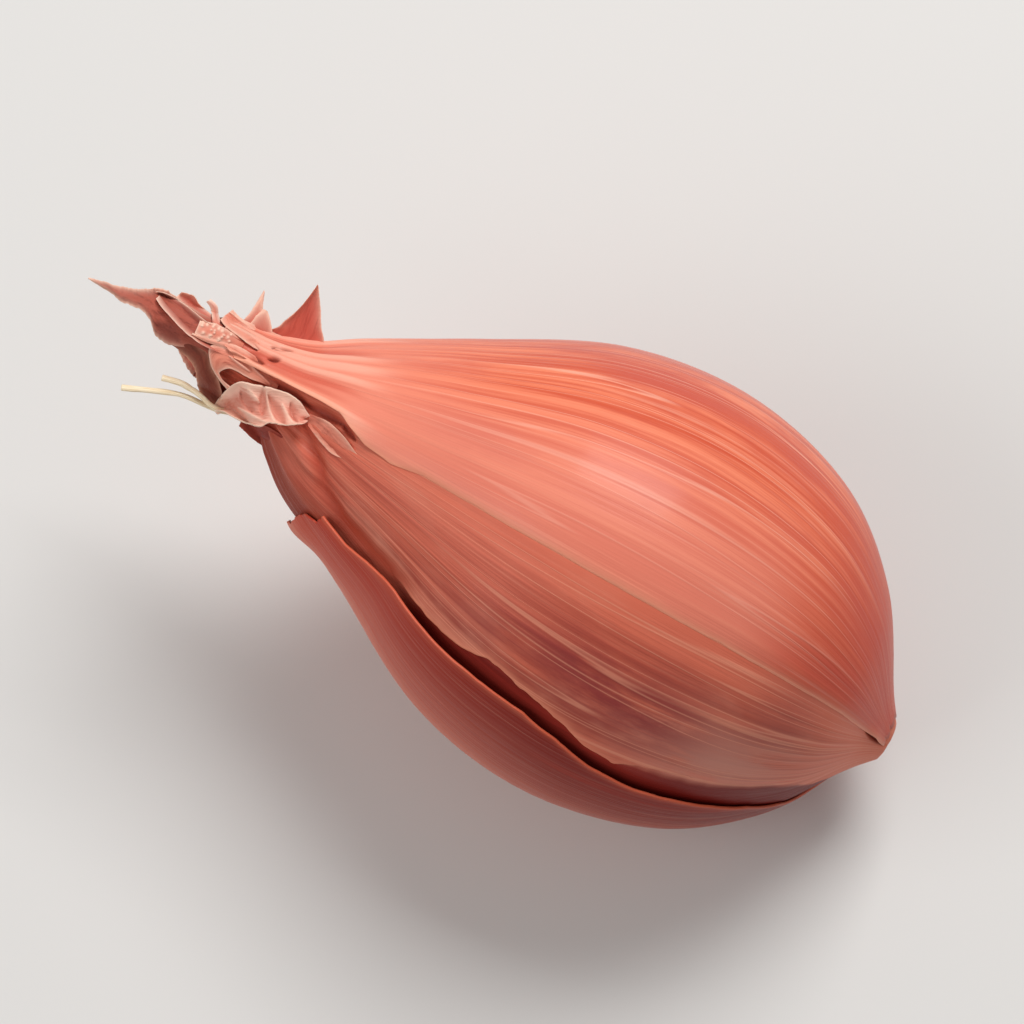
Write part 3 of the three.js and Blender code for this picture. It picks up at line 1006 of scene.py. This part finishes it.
def painted(tree, skin, tint, amount, strength=1.0):  # tint over skin, by amount
    if strength < 1:
        amount = product(tree, amount, strength)
    return addNode(tree, "ShaderNodeMix", {0: amount, 6: skin, 7: tint}, data_type="RGBA").outputs[2]


def paintedIn(tree, skin, c, layers):
    # Each layer is a tint, the texture that places it, the values it comes in between and its strength.
    for tint, texture, low, high, strength in layers:
        skin = painted(tree, skin, c[tint], spread(tree, texture, low, high, 0.0, strength))
    return skin


def veins(tree, scale, width):  # thin lines that follow the grain
    value = grainNoise(tree, (1, 1, 0.4), scale, 1.0, 0.4)
    apart = maths(tree, "ABSOLUTE", maths(tree, "SUBTRACT", value, 0.5))
    return spread(tree, apart, 0.0, width, 1.0, 0.0)


def heightOf(tree, layers):  # the sum of (texture, share of the height)
    total = 0.0
    for texture, size in layers:
        total = maths(tree, "ADD", total, maths(tree, "MULTIPLY", texture, size))
    return total


glossSockets = {"specular": "Specular IOR Level", "coat": "Coat Weight", "coatRoughness": "Coat Roughness"}


def finishSurface(tree, shader, skin, streaks, height, finish):
    tree.links.new(skin, shader.inputs["Base Color"])
    tree.links.new(spread(tree, streaks, 0.3, 0.7, *finish["roughness"]), shader.inputs["Roughness"])
    values = {"Height": height, "Strength": finish["bump"], "Distance": finish["bumpDistance"]}
    tree.links.new(addNode(tree, "ShaderNodeBump", values).outputs[0], shader.inputs["Normal"])
    for key, socket in glossSockets.items():
        if key in finish:
            shader.inputs[socket].default_value = finish[key]


def colour(*screen):  # from the usual 0 to 255 of a screen to the linear values that shaders want
    return (*[(c / 255 / 12.92) if c <= 10 else ((c / 255 + 0.055) / 1.055) ** 2.4 for c in screen], 1.0)


bulbFinish = {
    "base": colour(208, 104, 80),
    "dusky": colour(164, 68, 52),
    "pale": colour(218, 140, 116),
    "vein": colour(226, 150, 122),
    "upper": colour(210, 108, 84),
    "purple": colour(138, 52, 52),
    "neck": colour(204, 98, 74),
    # shoulder tint: painted shade on the low side of the shoulder under the neck
    "shoulder": colour(126, 38, 22),
    # pocket tint: painted shade in the dents and the notch
    "pocket": colour(160, 66, 52),
    # pale tint: dull pale skin, and a painted highlight on the shoulder
    "paleAndHighlight": colour(206, 142, 124),
    "root": colour(226, 116, 84),
    # Inside tints: the deeper skin's dark red, darkened as painted shade under the flap; bent is painted
    # shade where the skin bends in.
    "inside": colour(164, 54, 44),
    "insideDeep": colour(128, 38, 32),
    "bent": colour(120, 28, 22),
    # crease tint: painted shade in the crease
    "crease": colour(180, 66, 44),
    # edge tint: paler torn rim with a painted highlight
    "edge": colour(226, 140, 110),
    "streaks": ((1, 1, 0.6), 1.3, 6, 0.62),  # stretch, scale, detail and roughness of the noise
    "patches": ((0.22, 0.22, 2.2), 1.0, 4, 0.6),
    "mottles": ((0.75, 0.75, 4.5), 1.0, 5, 0.62),
    "fine": ((3.2, 3.2, 0.9), 1.6, 4, 0.6),
    "veins": 1.1,
    "roughness": (0.34, 0.5),
    "bump": 0.45,
    "bumpDistance": 0.0004,  # metres
    "specular": 0.13,
    "coat": 0.06,
    "coatRoughness": 0.25,
}


def makeBulbMaterial():
    material, tree, shader = newMaterial("second skin")
    c = bulbFinish
    share, around = marked(tree, "share"), marked(tree, "round")
    streaks, patches, mottles, fine = (
        grainNoise(tree, *c[name]) for name in ("streaks", "patches", "mottles", "fine")
    )
    layers = [
        ("dusky", streaks, 0.4, 0.64, 1.0),
        ("pale", patches, 0.45, 0.75, 0.8),
        ("purple", fine, 0.5, 0.75, 0.4),
        ("pale", fine, 0.48, 0.25, 0.35),
    ]
    skin = paintedIn(tree, c["base"], c, layers)
    besideOuter = product(tree, spread(tree, around, 42, 14), spread(tree, around, -20, 10))
    skin = painted(tree, skin, c["upper"], besideOuter, 0.75)
    skin = painted(tree, skin, c["root"], spread(tree, share, 0.16, 0.03, 0.0, 0.8))
    # Pale dull patches, and a painted highlight on the shoulder under the lip.
    paleAndHighlight = product(tree, marked(tree, "paleAndHighlight"), spread(tree, mottles, 0.3, 0.6, 0.35, 0.9))
    skin = painted(tree, skin, c["paleAndHighlight"], paleAndHighlight)
    purple = product(tree, marked(tree, "purple"), spread(tree, mottles, 0.24, 0.6, 0.15, 1.0))
    skin = painted(tree, skin, c["purple"], purple)
    skin = painted(tree, skin, c["vein"], veins(tree, c["veins"], 0.022), 0.5)
    skin = painted(tree, skin, c["neck"], spread(tree, share, 0.72, 0.93, 0.0, 0.8))
    # Painted shade: the low side of the shoulder, under the neck and the lip, is darkened.
    lowSide = product(tree, spread(tree, around, 55, 85), spread(tree, share, 0.66, 0.78))
    skin = painted(tree, skin, c["shoulder"], lowSide, 0.8)
    # The deeper skin's dark red with painted shade under the flap, darkest as painted shade where the skin
    # only bends in.
    inside = painted(tree, c["inside"], c["insideDeep"], spread(tree, streaks, 0.3, 0.7))
    inside = painted(tree, inside, c["bent"], spread(tree, share, 0.36, 0.22))
    skin = painted(tree, skin, inside, marked(tree, "inside"))
    # Painted shade in the crease and the pockets, and the torn edge's paler rim with a painted highlight.
    for mark, strength in (("crease", 0.8), ("pocket", 0.9), ("edge", 0.8)):
        skin = painted(tree, skin, c[mark], marked(tree, mark), strength)
    height = heightOf(tree, ((streaks, 0.7), (veins(tree, c["veins"], 0.03), 0.06), (fine, 0.3)))
    finishSurface(tree, shader, skin, streaks, height, c)
    return material


outerFinish = {
    "copper": colour(206, 84, 54),
    "orange": colour(236, 130, 96),
    "rose": colour(200, 84, 64),
    "pale": colour(246, 182, 158),
    "neck": colour(234, 138, 114),
    # flap: the flap's own dark red, made darker as painted shade for a flap that faces away from the light
    "flap": colour(124, 24, 11),
    "flapTip": colour(176, 58, 40),
    "flapPale": colour(190, 112, 92),
    # edge and flapEdge tints: paler rims with a painted highlight
    "edge": colour(246, 164, 132),
    "flapEdge": colour(216, 104, 74),
    # paintedSheen: a paler pink painted sheen over the middle of the upper skin
    "paintedSheen": colour(226, 136, 116),
    # Painted shade in the neck folds' valleys and a painted highlight on their ridges.
    "foldValleyShade": colour(206, 92, 72),
    "foldRidgeHighlight": colour(252, 184, 160),
    "rootEnd": colour(192, 58, 34),
    # slit tint: painted shade in the tears and the pits
    "slit": colour(128, 44, 32),
    "streaks": ((1, 1, 0.6), 1.2, 6, 0.62),
    "patches": ((0.2, 0.2, 1.8), 1.0, 4, 0.6),
    "fine": ((3, 3, 0.8), 1.6, 4, 0.6),
    "veins": 0.9,
    "pits": 3.2,
    "roughness": (0.28, 0.44),
    "bump": 0.4,
    "bumpDistance": 0.0004,
    "specular": 0.12,
    "coat": 0.1,
    "coatRoughness": 0.17,
}


def makeOuterSkinMaterial():
    material, tree, shader = newMaterial("outer dry skin")
    c = outerFinish
    share, around, fold = marked(tree, "share"), marked(tree, "round"), marked(tree, "fold")
    streaks, patches, fine = (grainNoise(tree, *c[name]) for name in ("streaks", "patches", "fine"))
    layers = [
        ("orange", streaks, 0.4, 0.6, 1.0),
        ("rose", patches, 0.42, 0.72, 1.0),
        ("rose", fine, 0.5, 0.75, 0.5),
        ("pale", fine, 0.48, 0.25, 0.4),
    ]
    skin = paintedIn(tree, c["copper"], c, layers)
    skin = painted(tree, skin, c["pale"], veins(tree, c["veins"], 0.018), 0.5)
    # Painted sheen: paler pink over the middle of the upper skin, where the light gleams.
    paintedSheen = product(tree, spread(tree, around, -34, 6), spread(tree, share, 0.12, 0.3))
    skin = painted(tree, skin, c["paintedSheen"], paintedSheen, 0.65)
    # Neck tone, painted shade and highlight on the folds, and the root end's tone.
    endLayers = [
        ("neck", share, 0.62, 0.9, 1.0),
        ("foldValleyShade", fold, 0.42, 0.0, 0.8),
        ("foldRidgeHighlight", fold, 0.56, 0.95, 0.6),
        ("rootEnd", share, 0.3, 0.04, 0.75),
    ]
    skin = paintedIn(tree, skin, c, endLayers)
    # The flap: its own dark red with painted shade, lighter towards the tip, with pale scratches.
    flapLayers = [
        ("flapTip", share, 0.36, 0.78, 1.0),
        ("flapPale", fine, 0.5, 0.3, 0.3),
        ("flapTip", streaks, 0.56, 0.68, 0.35),
    ]
    flap = paintedIn(tree, c["flap"], c, flapLayers)
    scratches = product(tree, spread(tree, streaks, 0.5, 0.66), spread(tree, share, 0.58, 0.74))
    flap = painted(tree, flap, c["flapPale"], scratches, 0.5)
    skin = painted(tree, skin, flap, marked(tree, "flap"))
    # Painted shade in the tears, and below in the pits.
    skin = painted(tree, skin, c["slit"], marked(tree, "slit"), 0.95)
    cells = {"Vector": marked(tree, "grain", "Vector"), "Scale": c["pits"]}
    pits = spread(tree, addNode(tree, "ShaderNodeTexVoronoi", cells).outputs[0], 0.42, 0.12)
    skin = painted(tree, skin, c["slit"], product(tree, pits, marked(tree, "pitted")), 0.8)
    # The edges' paler rims, with a painted highlight.
    for mark, strength in (("edge", 0.85), ("flapEdge", 0.8)):
        skin = painted(tree, skin, c[mark], marked(tree, mark), strength)
    height = heightOf(tree, ((streaks, 0.6), (veins(tree, c["veins"], 0.025), 0.1), (fine, 0.3)))
    finishSurface(tree, shader, skin, streaks, height, c)
    return material


leafColours = {
    "neck": {"base": colour(240, 146, 120), "deep": colour(200, 90, 70), "edge": colour(255, 208, 184)},
    "pink": {"base": colour(236, 140, 116), "deep": colour(200, 90, 72), "edge": colour(255, 222, 202)},
    "lip": {"base": colour(255, 198, 176), "deep": colour(208, 106, 84), "edge": colour(255, 216, 192)},
    "patch": {"base": colour(230, 132, 108), "deep": colour(176, 82, 64), "edge": colour(252, 190, 164)},
    "channel": {"base": colour(190, 78, 60), "deep": colour(146, 46, 32), "edge": colour(255, 214, 192)},
    "dark": {"base": colour(150, 52, 38), "deep": colour(126, 40, 30), "edge": colour(180, 80, 60)},
    "red": {"base": colour(208, 96, 78), "deep": colour(180, 70, 56), "edge": colour(255, 206, 182)},
    "tan": {"base": colour(180, 86, 67), "deep": colour(112, 44, 34), "edge": colour(252, 208, 184)},
    # brown: the sheet's own brown, darkened as painted shade for a sheet that lies in shadow under the neck
    "brown": {"base": colour(136, 57, 39), "deep": colour(104, 41, 28), "edge": colour(226, 160, 132)},
}


leafFinish = {
    "roughness": (0.4, 0.62),
    "bump": 0.5,
    "bumpDistance": 0.0003,
    "specular": 0.25,
    "throughLight": 0.12,  # how much light comes through a leaf
}


def makeLeafMaterial(name, c):
    material, tree, shader = newMaterial(name)
    fibres = grainNoise(tree, (0.6, 2.6, 1), 1.4, 6, 0.6)
    blotches = grainNoise(tree, (1, 1, 1), 1.1, 5, 0.65)
    layers = [("deep", fibres, 0.45, 0.8, 1.0), ("deep", blotches, 0.55, 0.8, 1.0)]
    skin = paintedIn(tree, c["base"], c, layers)
    # Painted shade in the hollows and creases.
    skin = painted(tree, skin, c["deep"], marked(tree, "hollowShade"), 0.65)
    # Pale rims with a painted highlight, and painted highlights on ridges and bubbles.
    skin = painted(tree, skin, c["edge"], marked(tree, "edge"), 0.95)
    finishSurface(tree, shader, skin, fibres, fibres, leafFinish)
    through = addNode(tree, "ShaderNodeBsdfTranslucent", {"Color": skin})
    parts = {0: leafFinish["throughLight"], 1: shader.outputs[0], 2: through.outputs[0]}
    mix = addNode(tree, "ShaderNodeMixShader", parts)
    tree.links.new(mix.outputs[0], tree.nodes["Material Output"].inputs["Surface"])
    return material


fibreFinish = {
    "pale": colour(255, 242, 214),
    "straw": colour(234, 202, 154),
    "roughness": (0.35, 0.6),
    "bump": 0.4,
    "bumpDistance": 0.0002,
}


def makeFibreMaterial():
    material, tree, shader = newMaterial("straw fibre")
    streaks = grainNoise(tree, (1, 1, 1), 1.5, 5, 0.6)
    skin = painted(tree, fibreFinish["pale"], fibreFinish["straw"], spread(tree, streaks, 0.3, 0.7))
    finishSurface(tree, shader, skin, streaks, streaks, fibreFinish)
    return material


rootFinish = {"pale": colour(150, 112, 78), "dark": colour(92, 62, 42), "roughness": 0.85}


def makeRootMaterial():
    material, tree, shader = newMaterial("dry root")
    streaks = grainNoise(tree, (1, 1, 1), 2.0, 5, 0.6)
    skin = painted(tree, rootFinish["pale"], rootFinish["dark"], spread(tree, streaks, 0.3, 0.7))
    tree.links.new(skin, shader.inputs["Base Color"])
    shader.inputs["Roughness"].default_value = rootFinish["roughness"]
    return material


makeBulb()
print("bulb made")
makeOuterSkin()
print("outer skin made")
leafMaterials = {tint: makeLeafMaterial(f"dry {tint} leaf", c) for tint, c in leafColours.items()}
for number, (name, form) in enumerate(leafForms.items()):
    makeLeaf(name, form, 100 + 10 * number)
print(len(leafForms), "torn leaves made")
for number, (name, form) in enumerate(fibreForms.items()):
    makeFibre(name, form, 300 + 10 * number)
makeRoots()
print("fibres and roots made")

studio = {
    "floor": colour(214, 212, 209),
    "floorSize": 4,
    "floorRoughness": 0.9,
    "worldStrength": 0.32,
    "lampsAim": (0, 0, 0.02),
    "lamps": {
        "key": {"at": (0.0, 0.4, 0.6), "size": 0.35, "power": 4.2},
        "fill": {"at": (-0.4, -0.45, 0.5), "size": 0.5, "power": 2.0},
    },
}


def makeStudio():
    bpy.ops.mesh.primitive_plane_add(size=studio["floorSize"])
    floor = bpy.context.object
    floor.name = "floor"
    material, tree, shader = newMaterial("pale floor")
    shader.inputs["Base Color"].default_value = studio["floor"]
    shader.inputs["Roughness"].default_value = studio["floorRoughness"]
    floor.data.materials.append(material)
    world = bpy.data.worlds.new("studio")
    world.use_nodes = True
    sky = world.node_tree.nodes["Background"]
    sky.inputs["Color"].default_value = (1, 1, 1, 1)
    sky.inputs["Strength"].default_value = studio["worldStrength"]
    bpy.context.scene.world = world
    for name, lamp in studio["lamps"].items():
        light = bpy.data.lights.new(name, "AREA")
        light.size = lamp["size"]
        light.energy = lamp["power"]
        holder = bpy.data.objects.new(name, light)
        holder.location = lamp["at"]
        back = Vector(lamp["at"]) - Vector(studio["lampsAim"])
        holder.rotation_euler = back.to_track_quat("Z", "Y").to_euler()
        bpy.context.scene.collection.objects.link(holder)


makeStudio()
bpy.context.scene.view_settings.view_transform = "Standard"
print("studio ready")
